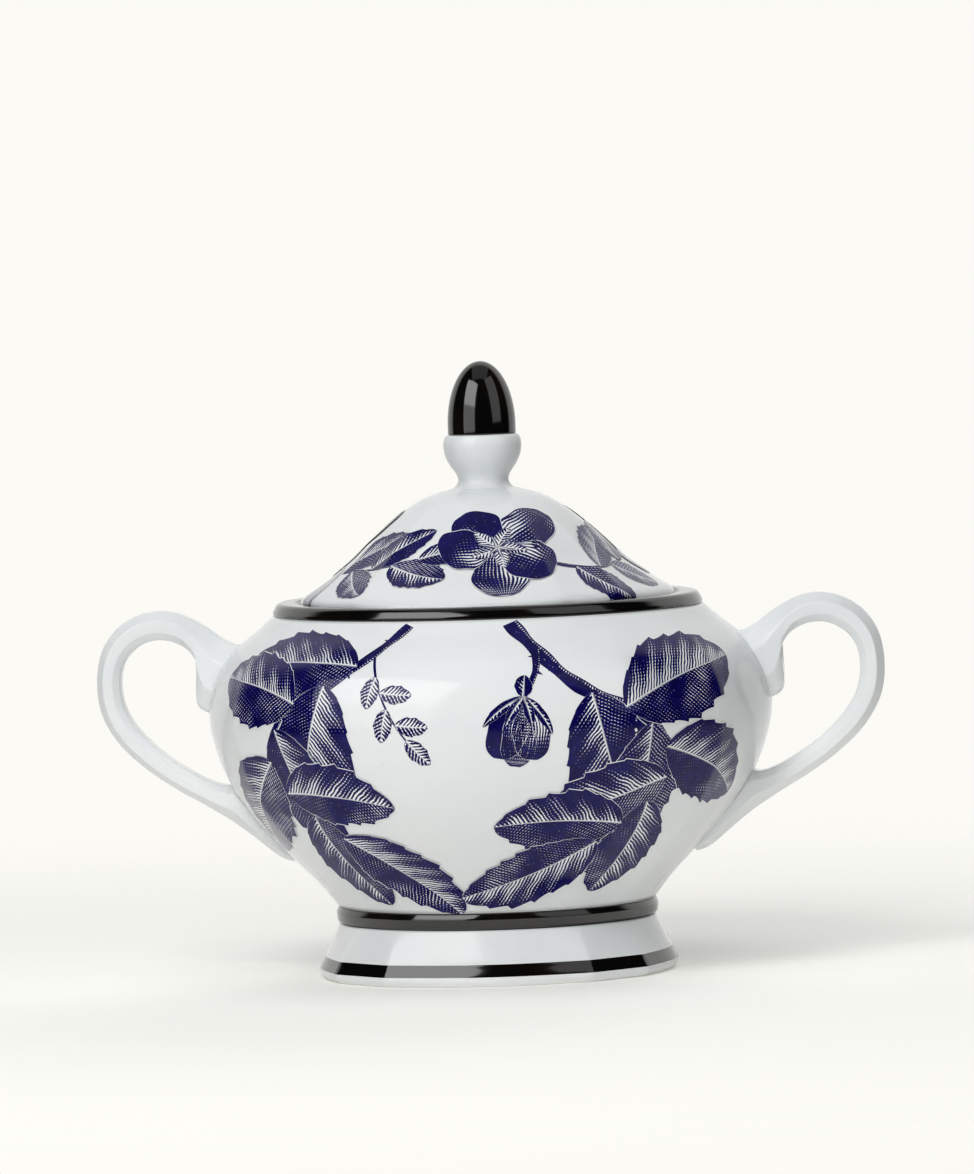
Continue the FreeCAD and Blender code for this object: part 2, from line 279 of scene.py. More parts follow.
def make_rim():
    """The black moulding round the mouth. The lid sits inside it."""
    corners = [(41.5, LIP, 0), (45.1, LIP, 0.3), (45.15, 77.0, 0.8), (44.2, RIM_TOP, 1.5)]
    corners += [(40.6, RIM_TOP, 0.5), (39.8, 78.2, 0.4), (39.8, LIP, 0.2), (41.5, LIP, 0)]
    rim = turned_mesh("rim_enamel", rounded(corners, 6)[:-1], closed=True)
    place(rim, "bowl", "black_enamel", "rim_band")


def make_bead():
    """The black bead where the bowl meets its foot."""
    swell = [(31.2, SEAT, 0), (31.2, BEAD_LOW, 0.2), (32.8, BEAD_LOW, 0.2), (33.7, BEAD_LOW + 0.5, 0.6)]
    swell += [(33.9, SEAT - 1.2, 1.0), (33.4, SEAT, 0.5), (31.2, SEAT, 0)]
    bead = turned_mesh("waist_enamel", rounded(swell, 5)[:-1], closed=True)
    place(bead, "bowl", "black_enamel", "waist_bead")


FOOT_BAND = (2.0, 4.5)  # heights between which the foot is enamelled black
BARE_BELOW = 0.3  # height below which the foot is bare clay


def make_foot():
    """The flared foot, hollow underneath, with its enamelled band and its bare standing ring."""
    outer = evenly(through(FOOT_RINGS, 10), 0.45)
    nearest = np.interp(FOOT_BAND, outer[:, 1], np.arange(len(outer))).round().astype(int)
    outer[nearest, 1] = FOOT_BAND
    spigot = [(31.2, BEAD_LOW), (31.2, SEAT), (28.3, SEAT)]
    arch = through([(28.2, SEAT), (29.2, 11.3), (31.4, 7.5), (34.0, 3.5), (34.5, 0.5), (34.9, 0.0)], 8)
    profile = np.vstack([outer, without_ridges(np.vstack([spigot, arch]))])
    bands = foot_finishes(profile[:, 1], len(outer))
    plain, shares = profile[:, :2], profile[:, 2]
    foot = turned_mesh("foot_porcelain", plain, ridged_columns(), FOOT_RISE, 0, shares, True, bands)
    place(foot, "bowl", "porcelain", "foot")


def foot_finishes(heights, outside):
    """Between each two rows of the foot: 0 for glaze, 1 for enamel and 2 for bare clay."""
    after = np.roll(heights, -1)
    middle = (heights + after) / 2
    bands = np.zeros(len(heights), int)
    on_outside = np.arange(len(heights)) < outside - 1
    bands[on_outside & (middle > FOOT_BAND[0]) & (middle < FOOT_BAND[1])] = 1
    bands[(heights < BARE_BELOW) & (after < BARE_BELOW)] = 2
    return bands


def make_lid():
    """The lid's shell: smooth inside, ridged outside."""
    outer = evenly(through(LID_RINGS, 12), 0.9)
    crown = without_ridges([(3.0, LID_TOP), (0.0, LID_TOP)])
    inside = evenly(through(DOME, 10), 1.6)[::-1]
    under = without_ridges(np.vstack([[(0.0, 98.45)], inside, [(32.4, LID_BASE), (39.0, LID_BASE)]]))
    profile = np.vstack([under, outer[1:], crown])
    lid = turned_mesh("lid_porcelain", profile[:, :2], ridged_columns(), LID_RISE, LID_TURN, profile[:, 2])
    place(lid, "lid", "printed_porcelain", "lid_shell")


def make_lid_ring():
    """The ring under the lid that keeps it in the mouth."""
    low = bottom_of("lid_flange")
    corners = [(33.5, LID_BASE, 0), (32.4, LID_BASE, 0), (32.4, low, 1.0)]
    corners += [(34.9, low, 1.0), (34.9, LID_BASE, 0), (33.5, LID_BASE, 0)]
    ring = turned_mesh("lid_ring", rounded(corners, 5)[:-1], closed=True)
    place(ring, "lid", "porcelain", "lid_flange")


def make_knob_cup():
    """The knob's white cup and neck."""
    profile = np.vstack([[(0, CUP_BASE)], evenly(through(CUP, 10), 0.3), [(5.0, CUP_TOP), (0, CUP_TOP)]])
    place(turned_mesh("knob_cup", profile), "lid", "porcelain", "finial_cup")


def make_knob_tip():
    """The black acorn: a short upright collar under half an ellipse."""
    radius, collar = 7.15, 2.0
    rise = TIP_TOP - CUP_TOP - collar
    slopes = np.linspace(0, math.pi / 2, 30)
    dome = np.column_stack([radius * np.cos(slopes), CUP_TOP + collar + rise * np.sin(slopes)])
    dome[-1, 0] = 0
    edge = rounded([(6.2, CUP_TOP, 0), (radius, CUP_TOP + 0.05, 0.25), (radius, CUP_TOP + collar, 0)])
    profile = np.vstack([[(0, CUP_TOP)], edge[:-1], dome])
    place(turned_mesh("knob_tip", profile), "lid", "black_enamel", "finial_acorn")


# ---------------------------------------------------------------- handles

# Stations along a handle: outer x, outer z, inner x, inner z and half width. The upper end flares into the
# wall. The lower one widens and then runs out down the wall.
HANDLE_STATIONS = [
    (52.3, 70.2, 57.4, 55.8, 7.2), (54.0, 70.5, 59.9, 56.5, 6.0), (56.4, 71.8, 61.6, 57.9, 5.1),
    (59.8, 74.3, 61.9, 61.6, 4.5), (63.8, 76.5, 61.3, 65.6, 4.2), (67.2, 77.6, 63.2, 69.3, 4.1),
    (70.8, 77.7, 67.0, 71.4, 4.0), (74.8, 76.6, 71.2, 71.5, 4.0), (78.8, 73.9, 74.9, 69.6, 3.9),
    (81.9, 69.2, 77.2, 66.5, 3.9), (83.0, 62.6, 77.9, 62.2, 3.9), (82.0, 55.8, 77.0, 57.2, 3.9),
    (78.3, 49.5, 73.9, 52.2, 3.9), (72.6, 44.1, 68.5, 47.1, 4.0), (66.4, 39.8, 62.4, 43.1, 4.1),
    (62.4, 37.5, 58.7, 41.3, 4.2), (58.6, 35.2, 56.0, 40.7, 4.5), (55.0, 32.9, 53.9, 41.2, 5.0),
    (51.8, 30.5, 51.6, 38.0, 5.4), (49.0, 28.2, 48.6, 34.6, 5.4), (46.6, 26.2, 45.6, 31.2, 5.0),
    (44.6, 24.9, 42.6, 28.4, 4.3), (42.6, 24.2, 40.6, 26.6, 3.2),
]
# Half of a handle's faceted section, from outer to inner face: share of the half thickness, share of the
# half width, rounding.
STRAP_SECTION = [
    (1.0, 0.0, 0), (1.0, 0.3, 0.2), (0.4, 1.0, 0.2), (-0.4, 1.0, 0.17), (-1.0, 0.66, 0.2), (-1.0, 0.0, 0),
]


def make_handle(name, side, node):
    """A strap swept through its stations. side is 1 for the handle on +X and -1 for the one on -X."""
    stations = through(HANDLE_STATIONS, 7)
    half = rounded(STRAP_SECTION, 5)
    section = np.vstack([half, half[-2:0:-1] * (1, -1)])
    vertices = []
    for outer_x, outer_z, inner_x, inner_z, half_width in stations:
        middle = np.array([outer_x + inner_x, outer_z + inner_z]) / 2
        reach = np.array([outer_x - inner_x, outer_z - inner_z]) / 2
        for across, sideways in section:
            x, z = middle + reach * across
            vertices.append((side * x * MM, sideways * half_width * MM, z * MM))
    count = len(section)
    faces = []
    for level in range(len(stations) - 1):
        for i in range(count):
            j = (i + 1) % count
            corner = [level * count + i, level * count + j, (level + 1) * count + j, (level + 1) * count + i]
            faces.append(corner if side < 0 else corner[::-1])
    first, last = list(range(count)), list(range(len(vertices) - count, len(vertices)))
    faces += [first[::-1], last] if side < 0 else [first, last[::-1]]
    place(new_piece(name, vertices, faces), "bowl", "porcelain", node)


# ---------------------------------------------------------------- placing

def place(piece, body, slot, *nodes):
    """Gives a piece its materials, and puts it on its body in place of CAD nodes. slot, the record slot, is
    not used.
    """
    for material in FINISHES[piece.name]:
        piece.data.materials.append(material)
    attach(piece, body)
    if nodes:
        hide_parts(*nodes)


# ---------------------------------------------------------------- materials

class Value:
    """A node socket, so that shader maths can be written as sums and products.

    tree is the material or world that new nodes are added to.
    """

    tree = None

    def __init__(self, socket):
        self.socket = socket

    def _maths(self, operation, *others):
        """The result of a maths node on this value and up to two others, or plain numbers."""
        step = node("ShaderNodeMath", operation=operation)
        for slot, other in enumerate((self, *others)):
            if isinstance(other, Value):
                link(other, step.inputs[slot])
            else:
                step.inputs[slot].default_value = other
        return Value(step.outputs[0])

    def __add__(self, other):
        return self._maths("ADD", other)

    def __sub__(self, other):
        return self._maths("SUBTRACT", other)

    def __mul__(self, other):
        return self._maths("MULTIPLY", other)

    def most(self, other):
        """The larger of the two."""
        return self._maths("MAXIMUM", other)

    def size(self):
        """The value without its sign."""
        return self._maths("ABSOLUTE")

    def part(self):
        """What is left of it over a whole number."""
        return self._maths("FRACT")

    def power(self, other):
        return self._maths("POWER", other)

    def ramp(self, low, high, to_low=0.0, to_high=1.0):
        """Goes smoothly from to_low at low to to_high at high."""
        step = node("ShaderNodeMapRange", interpolation_type="SMOOTHSTEP")
        link(self, step.inputs["Value"])
        for name, number in (("From Min", low), ("From Max", high), ("To Min", to_low), ("To Max", to_high)):
            step.inputs[name].default_value = number
        return Value(step.outputs[0])

    def stripes(self):
        """From 0 in the middle of a stripe to 1 between two stripes, once per unit."""
        return (self.part() - 0.5).size() * 2.0


def start_material(name):
    """A new material and its shader, with Value set to add nodes to it."""
    material = bpy.data.materials.new(name)
    material.use_nodes = True
    Value.tree = material.node_tree
    shader = material.node_tree.nodes["Principled BSDF"]
    return material, shader


def node(kind, **settings):
    """A new node in the tree of Value, with the settings named."""
    made = Value.tree.nodes.new(kind)
    for key, value in settings.items():
        setattr(made, key, value)
    return made


def link(output, target):
    """Joins an output, a socket or a Value, to an input socket."""
    Value.tree.links.new(output.socket if isinstance(output, Value) else output, target)


def noise(scale, detail, vector=None):
    """Soft noise from 0 to 1, with so many blobs to a unit of the vector, or to a metre without one."""
    made = node("ShaderNodeTexNoise")
    made.inputs["Scale"].default_value = scale
    made.inputs["Detail"].default_value = detail
    link(vector or object_place(), made.inputs["Vector"])
    return Value(made.outputs["Fac"])


def object_place():
    """The place on the piece in metres, as a socket."""
    return node("ShaderNodeTexCoord").outputs["Object"]


def blend_colours(share, first, second):
    """From first where share is 0 to second where it is 1. Each may be a colour or a socket."""
    mix = node("ShaderNodeMix", data_type="RGBA")
    link(share, mix.inputs["Factor"])
    for index, colour in ((6, first), (7, second)):
        if isinstance(colour, tuple):
            mix.inputs[index].default_value = (*colour, 1)
        else:
            link(colour, mix.inputs[index])
    return mix.outputs[2]


def roughen(shader, height, strength, depth):
    """Bumps the surface by a height from 0 to 1 that stands for so much depth in metres."""
    bump = node("ShaderNodeBump")
    bump.inputs["Strength"].default_value = strength
    bump.inputs["Distance"].default_value = depth
    link(height, bump.inputs["Height"])
    link(bump.outputs["Normal"], shader.inputs["Normal"])


GLAZE_IOR, ENAMEL_IOR = 1.4, 1.85
GLAZE_SHINE = (0.07, 0.12)  # roughness where the glaze is shiniest and dullest


def glaze(shader, ior, ripple):
    """A clear fired glaze: glossy, with a faint ripple and slightly uneven shine."""
    shader.inputs["IOR"].default_value = ior
    link(noise(90, 3).ramp(0.3, 0.7, *GLAZE_SHINE), shader.inputs["Roughness"])
    roughen(shader, noise(160, 2), ripple, 0.4 * MM)


PORCELAIN = (0.80, 0.815, 0.82)
PORCELAIN_DEEP = (0.765, 0.79, 0.80)
SPECK = (0.55, 0.53, 0.50)


def porcelain_colour():
    """Cool white, a touch deeper in broad soft clouds, with rare fine specks."""
    clouds = blend_colours(noise(35, 3).ramp(0.35, 0.7), PORCELAIN, PORCELAIN_DEEP)
    speck = noise(1500, 0).ramp(0.82, 0.85, 0.0, 0.2)
    return blend_colours(speck, clouds, SPECK)


def make_porcelain():
    """White glazed porcelain without print."""
    material, shader = start_material("porcelain")
    link(porcelain_colour(), shader.inputs["Base Color"])
    glaze(shader, GLAZE_IOR, 0.05)
    return material


def make_enamel():
    """Black enamel, brushed on: nearly black, warmer where it is thin."""
    material, shader = start_material("black_enamel")
    thin = noise(70, 3).ramp(0.45, 0.75)
    link(blend_colours(thin, (0.0045, 0.004, 0.004), (0.012, 0.009, 0.006)), shader.inputs["Base Color"])
    glaze(shader, ENAMEL_IOR, 0.08)
    return material


def make_biscuit():
    """Bare fired clay where the piece stood in the kiln."""
    material, shader = start_material("biscuit")
    grain = noise(900, 4)
    link(blend_colours(grain, (0.62, 0.60, 0.56), (0.74, 0.72, 0.68)), shader.inputs["Base Color"])
    link(grain.ramp(0.2, 0.8, 0.75, 0.9), shader.inputs["Roughness"])
    roughen(shader, grain, 0.3, 0.2 * MM)
    return material


INK = (0.0055, 0.0035, 0.072)
INK_THIN = (0.010, 0.0075, 0.118)


def ink_inputs():
    """What the maps of every printed shape say.

    u runs from 0 to 1 along a shape and v from -1 to 1 across it. x and y are the same in millimetres. tone
    is the shape's darkness, side tells which half of it is lit, and ruler is x and y as one socket.
    """
    form = node("ShaderNodeSeparateXYZ")
    link(node("ShaderNodeUVMap", uv_map="form").outputs[0], form.inputs[0])
    ruler = node("ShaderNodeUVMap", uv_map="ruler").outputs[0]
    measured = node("ShaderNodeSeparateXYZ")
    link(ruler, measured.inputs[0])
    look = node("ShaderNodeSeparateColor")
    link(node("ShaderNodeAttribute", attribute_name="look").outputs["Color"], look.inputs[0])
    return {
        "u": Value(form.outputs[0]),
        "v": Value(form.outputs[1]),
        "x": Value(measured.outputs[0]),
        "y": Value(measured.outputs[1]),
        "tone": Value(look.outputs[0]),
        "side": Value(look.outputs[1]),
        "ruler": ruler,
    }


def engraved(tone, lines, cross):
    """Where an engraving leaves white: between lines if the tone is light, in dots between crossed lines if
    it is darker, and nowhere if it is darkest.
    """
    gap_along = (lines.stripes() - tone * 1.25).ramp(-0.12, 0.12)
    gap_across = (cross.stripes() - (tone * 2.2 - 1.0)).ramp(-0.14, 0.14)
    return gap_along * gap_across


def finish_ink(shader, bare):
    """Inks a glazed shape, worn in rare small spots. bare is 1 where the white shows through the print."""
    worn = noise(3200, 0).ramp(0.80, 0.86, 0.0, 0.4)
    ink = blend_colours(noise(500, 2).ramp(0.3, 0.75), INK, INK_THIN)
    link(blend_colours(bare.most(worn), ink, porcelain_colour()), shader.inputs["Base Color"])
    glaze(shader, GLAZE_IOR, 0.05)


LEAF_LINES, LEAF_DOTS = 1.15, 1.3  # engraved lines, and rows of dots across them, to a millimetre
VEIN_GAP = 5  # millimetres between the soft side veins on a leaf's lit half
OUTLINE = (0.91, 0.94)  # share of the way to its edge at which a leaf's dark outline starts
MARGIN = (0.968, 0.982)  # and at which it ends in a white line that parts it from what lies under it


def make_leaf_ink():
    """A leaf: deep ink with rows of fine dots, and one half lit with a comb of open strokes."""
    material, shader = start_material("ink_leaf")
    at = ink_inputs()
    wobble = noise(0.3, 2, at["ruler"])
    cloud = noise(0.11, 2, at["ruler"]) - 0.5
    sideways, edge = at["y"].size(), at["v"].size()
    # Strokes slant forwards from the midrib on both halves.
    veins = at["x"] - sideways * 0.8 + wobble * 1.3
    lit = (at["v"] * at["side"]).ramp(-0.03, 0.06)
    dark = at["tone"] * 0.7 + 0.46 + cloud * 0.9
    between = (veins * (1 / VEIN_GAP)).stripes()
    bright = at["tone"] * 0.5 + edge * 0.55 + between * 0.28 + cloud * 0.5 + 0.04
    tone = dark + (bright - dark) * lit
    bare = engraved(tone.most(0.34), veins * LEAF_LINES, (at["x"] * 0.35 + sideways) * LEAF_DOTS)
    # The midrib is whitest beside the lit half, and it narrows towards the tip.
    half_midrib = at["u"] * -0.2 + 0.27
    midrib = (sideways - half_midrib).ramp(-0.05, 0.05, 1.0, 0.0) * lit.ramp(-0.4, 0.6)
    drawn = bare.most(midrib) * edge.ramp(*OUTLINE, 1.0, 0.0)
    finish_ink(shader, drawn.most(edge.ramp(*MARGIN)))
    return material


def make_petal_ink():
    """A petal: lines fanning from its root, open on its lit side and dark to the edge."""
    material, shader = start_material("ink_petal")
    at = ink_inputs()
    wobble = noise(0.4, 2, at["ruler"])
    cloud = noise(0.14, 2, at["ruler"]) - 0.5
    edge = at["v"].size()
    # About 11 lines lie side by side at the root and 17 at the end.
    fan = at["v"] * (at["u"] * 3.0 + 5.5) + wobble * 0.6
    lit = (at["v"] * at["side"]).ramp(-0.1, 0.5) * at["u"].ramp(0.35, 0.95, 1.0, 0.0)
    tone = at["tone"] * 0.8 + 0.42 + cloud * 0.9 - lit * 0.35 + edge.power(3.0) * 0.15
    bare = engraved(tone.most(0.3), fan, at["x"] * 1.3 + wobble * 0.5)
    # Inside the dark outline and the white margin, at the sides and at the end.
    inside = edge.ramp(0.90, 0.93, 1.0, 0.0) * at["u"].ramp(0.95, 0.965, 1.0, 0.0)
    margin = edge.ramp(0.965, 0.98).most(at["u"].ramp(0.98, 0.99))
    finish_ink(shader, (bare * inside).most(margin))
    return material


def make_stem_ink():
    """A stem: dark, with a few hatches on its lit side."""
    material, shader = start_material("ink_stem")
    at = ink_inputs()
    wobble = noise(0.8, 2, at["ruler"])
    tone = at["tone"] + 0.85 - (at["v"] * at["side"]).ramp(0.0, 0.7) * 0.7 + (wobble - 0.5) * 1.0
    bare = engraved(tone, at["x"] * 1.6 + at["v"] * 0.5, at["v"] * 1.2)
    finish_ink(shader, bare * at["v"].size().ramp(0.75, 0.85, 1.0, 0.0))
    return material


# ---------------------------------------------------------------- prints

LEAF, PETAL, STEM = 0, 1, 2  # places of their inks in the list of a print's materials
LIFT, LAYER = 0.045, 0.022  # how far the lowest print stands off the glaze, and each layer above it, in mm
LEAF_STEP = 0.45  # millimetres between the points along a leaf
SPREAD = 52  # degrees between a leaf and the stem it grows from
TWIG_LEAF_SIZES, TWIG_LEAF_TONES = (0.92, 1.0, 0.85), (0.42, 0.3, 0.36)  # in turn along a twig
TWIG_LEAF_WIDTH, TWIG_LEAF_BEND, TWIG_LEAF_TEETH = 0.66, 22, 9  # share of the length, degrees, count
LEAFLET_SIZE, LEAFLET_WIDTH = 7.0, 0.64  # length in mm, and width as a share of it


class Print:
    """Printed shapes on one surface, gathered into one mesh."""

    def __init__(self, surface):
        self.surface = surface
        self.vertices, self.normals, self.faces, self.slots = [], [], [], []
        self.form, self.ruler, self.look = [], [], []

    def ribbon(self, angle, height, centre, left, right, kind, tone, side, layer, across=10):
        """Lays a strip along centre, a curve in millimetres from the place (angle, height).

        left and right are the strip's widths on the two sides of each point of centre, kind is the place of
        its ink, and across is how many faces wide it is.
        """
        centre = np.array(centre, float)
        ahead = np.gradient(centre, axis=0)
        ahead /= np.linalg.norm(ahead, axis=1, keepdims=True) + 1e-9
        beside = np.column_stack([-ahead[:, 1], ahead[:, 0]])
        steps = np.linalg.norm(np.diff(centre, axis=0), axis=1)
        along = np.concatenate([[0], np.cumsum(steps)])
        v = np.linspace(-1, 1, across + 1)
        offset = np.where(v[None] > 0, v[None] * left[:, None], v[None] * right[:, None])
        x = centre[:, :1] + beside[:, :1] * offset
        y = centre[:, 1:] + beside[:, 1:] * offset
        start = self.surface.reach(height)
        reach = (start + y).clip(0.1, self.surface.along[-1] - 0.1)
        turn = math.radians(angle) + x / self.surface.radius_at(reach)
        normal = self.surface.normal(turn, reach)
        point = self.surface.point(turn, reach) + normal * (LIFT + LAYER * layer)
        first, rows, columns = len(self.vertices), len(centre), across + 1
        self.vertices += list((point * MM).reshape(-1, 3))
        self.normals += list(normal.reshape(-1, 3))
        self.form += [(u, w) for u in along / along[-1] for w in v]
        self.ruler += list(zip(np.repeat(along, columns), offset.reshape(-1)))
        self.look += [(tone, side, 0, 1)] * (rows * columns)
        for i in range(rows - 1):
            for j in range(columns - 1):
                corner = first + i * columns + j
                self.faces.append((corner, corner + columns, corner + columns + 1, corner + 1))
                self.slots.append(kind)

    def finish(self, name, body):
        """Makes the mesh, with its maps and with the normals of the surface that it lies on."""
        piece = new_piece(name, self.vertices, self.faces, self.slots)
        mesh = piece.data
        corners = np.empty(len(mesh.loops), np.int32)
        mesh.loops.foreach_get("vertex_index", corners)
        for layer_name, values in (("form", self.form), ("ruler", self.ruler)):
            layer = mesh.uv_layers.new(name=layer_name)
            layer.data.foreach_set("uv", np.array(values, np.float32)[corners].ravel())
        look = mesh.attributes.new("look", "FLOAT_COLOR", "POINT")
        look.data.foreach_set("color", np.array(self.look, np.float32).ravel())
        mesh.normals_split_custom_set_from_vertices([tuple(map(float, n)) for n in self.normals])
        place(piece, body, "printed_porcelain")


def bent_line(length, heading, bend, steps):
    """A line in millimetres that starts at the origin along heading and turns by bend, both in degrees."""
    t = np.linspace(0, 1, steps + 1)
    angles = np.radians(heading + bend * t)
    step = length / steps
    moves = np.column_stack([np.cos(angles), np.sin(angles)]) * step
    return np.vstack([[0, 0], np.cumsum(moves[:-1], axis=0)])


def add_leaf(sheet, angle, height, heading, length, width, bend, tone, side, layer, teeth):
    """A pointed oval leaf that starts at its stalk, smooth at the base and toothed towards the tip."""
    steps = max(24, round(length / LEAF_STEP))
    centre = bent_line(length, heading, bend, steps)
    u = np.linspace(0, 1, steps + 1)
    blade = (np.sin(math.pi * u**0.9).clip(0)) ** 0.64
    # The two halves differ: shift staggers the teeth, and swell makes one half narrower.
    halves = []
    for shift, swell in ((0.0, 1.0), (0.45, 0.93)):
        saw = (u**0.75 * teeth + shift) % 1
        tooth = saw**1.8 * (0.03 + 0.2 * u**1.5)
        wave = 0.03 * np.sin(u * 17 + heading + shift * 9)
        halves.append((width / 2 * swell * blade * (0.9 + tooth + wave)).clip(0.12))
    sheet.ribbon(angle, height, centre, halves[0], halves[1], LEAF, tone, side, layer)


def add_petal(sheet, angle, height, heading, length, width, bend, tone, layer):
    """A broad petal, narrow at its root, with a waved rounded end."""
    steps, fine_steps, widest = 34, 60, 0.6
    u = np.sin(np.linspace(0, math.pi / 2, steps + 1))
    fine = bent_line(length, heading, bend, fine_steps)
    centre = np.column_stack([np.interp(u, np.linspace(0, 1, fine_steps + 1), fine[:, i]) for i in (0, 1)])
    swelling = np.sin(math.pi / 2 * (u / widest).clip(0, 1)) ** 0.8
    blade = swelling * np.sqrt((1 - ((u - widest) / (1 - widest)).clip(0) ** 2).clip(0))
    half = (width / 2 * blade * (1 + 0.05 * np.sin(u * 14 + heading))).clip(0.03)
    sheet.ribbon(angle, height, centre, half, half * 0.94, PETAL, tone, 1, layer)


def stem_line(surface, places):
    """The curve of a stem through places (angle, height), in millimetres from its first place."""
    angle, height = places[0]
    start = surface.reach(height)
    middle = np.mean([surface.radius_at(surface.reach(level)) for _, level in places])
    points = [(math.radians(a - angle) * middle, surface.reach(level) - start) for a, level in places]
    curve = evenly(through(points, 10), 0.5)
    curve[:, 0] *= surface.radius_at(start + curve[:, 1]) / middle
    return curve


def place_at(surface, origin, point):
    """The place (angle, height) of a point that is so many millimetres across and along from origin."""
    reach = surface.reach(origin[1]) + point[1]
    angle = origin[0] + math.degrees(point[0] / surface.radius_at(reach))
    return angle, float(np.interp(reach, surface.along, surface.height))


def heading_at(line, at):
    """Which way a curve runs at one of its points, in degrees."""
    ahead = line[min(at + 2, len(line) - 1)] - line[max(at - 2, 0)]
    return math.degrees(math.atan2(ahead[1], ahead[0]))


def add_thorn(sheet, origin, start, lean, bend):
    """A short spike that starts at a point in millimetres from origin and leans so many degrees."""
    length, steps = 1.7, 6
    spike = bent_line(length, lean, bend, steps) + start
    taper = np.linspace(0.55, 0.06, steps + 1)
    sheet.ribbon(*origin, spike, taper, taper, STEM, 0.6, 1, 0, across=2)


def add_stem(sheet, places, width, end_width, thorns):
    """A stem through places (angle, height), with thorns on its two sides in turn."""
    line = stem_line(sheet.surface, places)
    u = np.linspace(0, 1, len(line))
    half = (width + (end_width - width) * u) / 2 * (1 + 0.14 * np.sin(u * len(line) * 0.33))
    sheet.ribbon(*places[0], line, half, half, STEM, 0.4, 1, 0, across=6)
    lean, bend = 62, 22  # degrees that a thorn leans away from the stem, and curls on
    for i in range(thorns):
        at = int((i + 0.5) / thorns * (len(line) - 1))
        side = 1 if i % 2 else -1
        add_thorn(sheet, places[0], line[at], heading_at(line, at) + lean * side, bend * side)


def add_twig(sheet, places, leaves, longest, thickness, thorns, bare):
    """A stem with leaves set on its two sides in turn, shorter towards its end, and one leaf at the end.

    bare is the share of the stem, from its start, that has no leaves. Each leaf lies a layer higher.
    """
    line = stem_line(sheet.surface, places)
    add_stem(sheet, places, thickness, thickness * 0.5, thorns)
    for i in range(leaves + 1):
        share = bare + (1 - bare) * i / leaves
        at = round(share * (len(line) - 1))
        side = 1 if i % 2 else -1
        spread = SPREAD * side if i < leaves else 0
        length = longest * (1 - 0.25 * share) * TWIG_LEAF_SIZES[i % 3]
        spot = place_at(sheet.surface, places[0], line[at])
        heading = heading_at(line, at) + spread
        width, bend, tone = length * TWIG_LEAF_WIDTH, -TWIG_LEAF_BEND * side, TWIG_LEAF_TONES[i % 3]
        add_leaf(sheet, *spot, heading, length, width, bend, tone, side, 1 + i, TWIG_LEAF_TEETH)


def add_sprig(sheet, angle, height, heading, length, leaflets):
    """A thin curved stalk with small open leaflets on its two sides in turn and one at the end."""
    stalk = bent_line(length, heading, 24, 30)
    half = np.linspace(0.3, 0.16, len(stalk))
    sheet.ribbon(angle, height, stalk, half, half, STEM, 0.7, 1, 0, across=2)
    for i, share in enumerate(np.linspace(0.3, 0.98, leaflets)):
        at = stalk[round(share * (len(stalk) - 1))]
        spot = place_at(sheet.surface, (angle, height), at)
        turn = 8 if i == leaflets - 1 else (52 if i % 2 else -44)
        width = LEAFLET_SIZE * LEAFLET_WIDTH
        add_leaf(sheet, *spot, heading + 14 + turn, LEAFLET_SIZE, width, 12, 0.12, 1, 0, 4)


def add_bud(sheet, angle, height, heading, size):
    """A half-open bud: three cupped petals, four pointed sepals over them and the swelling behind."""
    spot = (angle, height)
    for turn, length, width, tone in ((-26, 1.0, 0.62, 0.5), (24, 0.96, 0.6, 0.35), (0, 1.06, 0.56, 0.15)):
        add_petal(sheet, *spot, heading + turn, size * length, size * width, -turn * 0.9, tone, 1)
    for turn, length in ((-62, 0.75), (58, 0.7), (-34, 0.5), (30, 0.45)):
        add_leaf(sheet, *spot, heading + turn, size * length, size * 0.17, -turn * 0.5, 0.5, 1, 2, 2)
    add_leaf(sheet, *spot, heading + 180, size * 0.34, size * 0.3, 0, 0.7, 1, 2, 1)


def add_flower(sheet, angle, height, size, turn, layer):
    """An open flower: five broad petals, a curled inner ring and a heart of fine filaments."""
    for i, (reach, tone) in enumerate(((1.2, 0.3), (0.95, 0.5), (1.0, 0.4), (1.25, 0.2), (1.05, 0.35))):
        heading = turn + i * 72 + (7 if i % 2 else -6)
        add_petal(sheet, angle, height, heading, size * reach, size * 0.98, 14, tone, layer + i % 3)
    for i in range(5):
        heading = turn + 30 + i * 72
        tone = 0.1 - 0.2 * (i % 2)
        add_leaf(sheet, angle, height, heading, size * 0.5, size * 0.27, -20, tone, 1, layer + 3, 2)
    for i in range(6):
        length = size * (0.2 + 0.06 * (i % 3))
        add_leaf(sheet, angle, height, turn + i * 60, length, 0.9, 12, 1.0, 1, layer + 4, 1)


def print_bowl():
    """Two twigs that hang from the rim and curl towards each other, on the front and again on the back."""
    sheet = Print(Surface(BOWL_RINGS, BOWL_RISE))
    for turn in (0, 180):
        print_left_twig(sheet, turn)
        print_right_twig(sheet, turn)
    sheet.finish("bowl_print", "bowl")


def print_left_twig(sheet, turn):
    """A twig with a sprig hanging from it, turned by so many degrees."""
    places = [(turn - 16, 75.5), (turn - 26, 67), (turn - 42, 57), (turn - 46, 44), (turn - 34, 32)]
    add_twig(sheet, places, leaves=7, longest=37, thickness=2.2, thorns=6, bare=0.22)
    add_sprig(sheet, turn - 22, 70.5, heading=-76, length=23, leaflets=5)


def print_right_twig(sheet, turn):
    """A thicker twig with a bud hanging from it on a stalk of its own."""
    places = [(turn + 10, 75.5), (turn + 21, 64), (turn + 38, 54), (turn + 43, 42), (turn + 30, 30)]
    add_twig(sheet, places, leaves=7, longest=38, thickness=3.4, thorns=12, bare=0.34)
    stalk = [(turn + 15, 70.5), (turn + 14, 66), (turn + 11, 61)]
    add_stem(sheet, stalk, 1.7, 1.2, thorns=3)
    add_bud(sheet, *stalk[-1], heading=-98, size=14)


